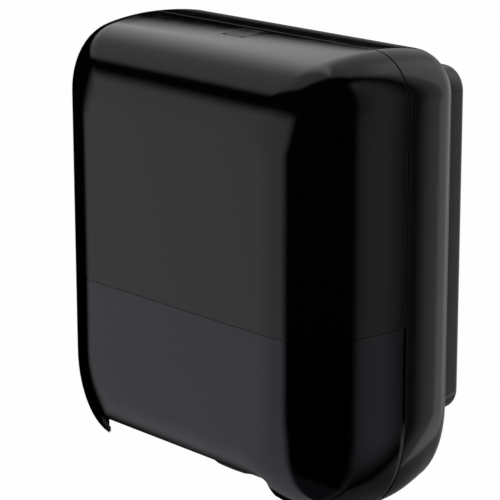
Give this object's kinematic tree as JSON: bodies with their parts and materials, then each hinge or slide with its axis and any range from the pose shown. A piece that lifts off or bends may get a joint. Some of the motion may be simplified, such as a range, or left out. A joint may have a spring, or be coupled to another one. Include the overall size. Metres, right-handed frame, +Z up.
{
  "type": "paper towel dispenser",
  "caption": "Wall-mounted roll paper towel dispenser with hinged gloss cover, smoked window, towel notch, feed drum, knife, pressure rollers and roll arms.",
  "frame": {"origin": "centre of the wall face, on the wall plane, halfway up the dispenser", "axes": "+X to the right seen from the front, +Y into the wall, +Z up"},
  "size_m": [0.337, 0.203, 0.372],
  "materials": {
    "cover_black": "high gloss moulded ABS",
    "shell_black": "gloss moulded ABS",
    "housing_black": "satin moulded ABS",
    "smoked_window": "smoked translucent ABS",
    "chassis_grey": "fine spark-eroded matte",
    "drum_grey": "fine matte",
    "handwheel_plastic": "fine matte",
    "grip_rubber": "matte rubber",
    "bush_plastic": "acetal",
    "shaft_steel": "drawn steel",
    "spring_steel": "spring wire",
    "blade_steel": "ground stainless",
    "screw_zinc": "zinc plated"
  },
  "bodies": {
    "frame": {"wall_housing": "housing_black", "rear_shell": "shell_black", "shell_screws": "screw_zinc", "hinge_pins": "shaft_steel", "latch_catch": "chassis_grey", "side_frame_left": "chassis_grey", "side_frame_right": "chassis_grey", "frame_tie": "shaft_steel", "frame_screws": "screw_zinc", "drum_bush_left": "bush_plastic", "drum_bush_right": "bush_plastic", "one_way_clutch": "shaft_steel", "spring_post": "shaft_steel", "return_spring": "spring_steel", "knife_cam": "chassis_grey", "paper_chute": "chassis_grey", "drum_guard": "chassis_grey", "roll_arm_left": "chassis_grey", "arm_bracket": "chassis_grey", "arm_pin": "shaft_steel", "arm_spring": "spring_steel", "arm_screws": "screw_zinc"},
    "cover": {"front_cover": "cover_black", "window": "smoked_window", "latch_pin": "shaft_steel", "latch_spring": "spring_steel"},
    "button": {"lock_button": "cover_black"},
    "latch": {"latch_lever": "chassis_grey"},
    "drum": {"drum_shell": "drum_grey", "drum_grips": "grip_rubber", "drum_end_left": "drum_grey", "drum_end_right": "drum_grey", "drum_shaft": "shaft_steel", "handwheel": "handwheel_plastic", "handwheel_screw": "screw_zinc", "crank_disc": "drum_grey", "crank_pin": "shaft_steel"},
    "knife": {"knife_carrier": "drum_grey", "knife_blade": "blade_steel", "knife_pivot": "shaft_steel", "knife_follower": "drum_grey"},
    "roller_carrier": {"pressure_frame": "chassis_grey", "pressure_pivot": "shaft_steel", "pressure_springs": "spring_steel"},
    "rollers": {"pressure_shaft": "shaft_steel", "pressure_rollers": "grip_rubber"},
    "right_arm": {"roll_arm_right": "chassis_grey"},
    "left_hub": {"roll_hub_left": "handwheel_plastic"},
    "right_hub": {"roll_hub_right": "handwheel_plastic"}
  },
  "joints": [
    {"name": "cover_hinge", "type": "hinge", "parent": "frame", "child": "cover", "pos_m": [0, -0.094, -0.17], "axis": [1, 0, 0], "range_deg": [0, 95]},
    {"name": "button_press", "type": "slide", "parent": "cover", "child": "button", "axis": [0, 0, -1], "range_m": [0, 0.003], "stiffness_N_per_m": 400, "springref_m": -0.004},
    {"name": "latch_swing", "type": "hinge", "parent": "cover", "child": "latch", "pos_m": [0, -0.146, 0.1695], "axis": [1, 0, 0], "range_deg": [-10, 0]},
    {"name": "drum_turn", "type": "hinge", "parent": "frame", "child": "drum", "pos_m": [0, -0.112, -0.095], "axis": [1, 0, 0], "continuous": true, "deforming": ["return_spring"]},
    {"name": "knife_swing", "type": "hinge", "parent": "drum", "child": "knife", "pos_m": [0, -0.13321, -0.08793], "axis": [1, 0, 0], "range_deg": [-17, 0], "stiffness_Nm_per_rad": 0.2, "springref_deg": 17.19},
    {"name": "roller_carrier_swing", "type": "hinge", "parent": "frame", "child": "roller_carrier", "pos_m": [0, -0.048, -0.058], "axis": [1, 0, 0], "range_deg": [0, 6], "stiffness_Nm_per_rad": 1, "springref_deg": -17.19},
    {"name": "roller_spin", "type": "hinge", "parent": "roller_carrier", "child": "rollers", "pos_m": [0, -0.0621, -0.095], "axis": [1, 0, 0], "continuous": true},
    {"name": "right_arm_swing", "type": "hinge", "parent": "frame", "child": "right_arm", "pos_m": [0.1141, -0.014, 0.062], "axis": [0, 0, 1], "range_deg": [0, 14], "stiffness_Nm_per_rad": 2, "springref_deg": -11.46},
    {"name": "left_hub_spin", "type": "hinge", "parent": "frame", "child": "left_hub", "pos_m": [-0.1075, -0.101, 0.062], "axis": [1, 0, 0], "continuous": true},
    {"name": "right_hub_spin", "type": "hinge", "parent": "right_arm", "child": "right_hub", "pos_m": [0.1075, -0.101, 0.062], "axis": [1, 0, 0], "continuous": true}
  ],
  "couplings": [
    {"joint": "latch_swing", "follows": "button_press", "rad_per_m": -55.556},
    {"joint": "roller_spin", "follows": "drum_turn", "ratio": -3.3043}
  ]
}
